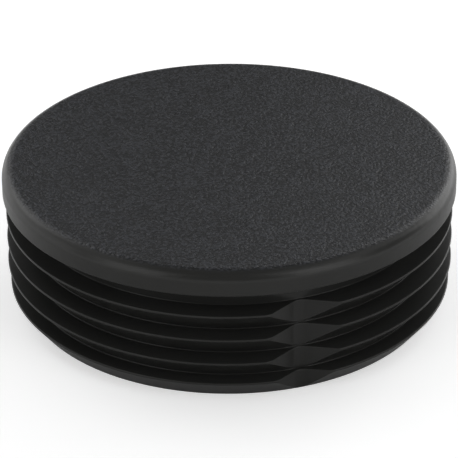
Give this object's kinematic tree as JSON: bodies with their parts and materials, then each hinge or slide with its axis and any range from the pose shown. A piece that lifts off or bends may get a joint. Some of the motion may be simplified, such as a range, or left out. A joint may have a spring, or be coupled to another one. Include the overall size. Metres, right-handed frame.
{
  "type": "tube end cap",
  "caption": "Round black plastic end cap for a tube: a flat, finely grained head over a hollow skirt whose barbed fins grip the bore, with shallow vees across the fins where the mould parts.",
  "frame": {"origin": "centre of the open rim, which is the lowest plane", "axes": "+Z along the axis, out through the head; the vees lie on -Y and +Y, where the mould parts"},
  "size_m": [0.076, 0.076, 0.0243],
  "materials": {
    "moulded_plastic": "black polyethylene, finely grained on the head's top face and satin smooth elsewhere"
  },
  "bodies": {
    "root": {"end_cap": "moulded_plastic"}
  },
  "joints": []
}
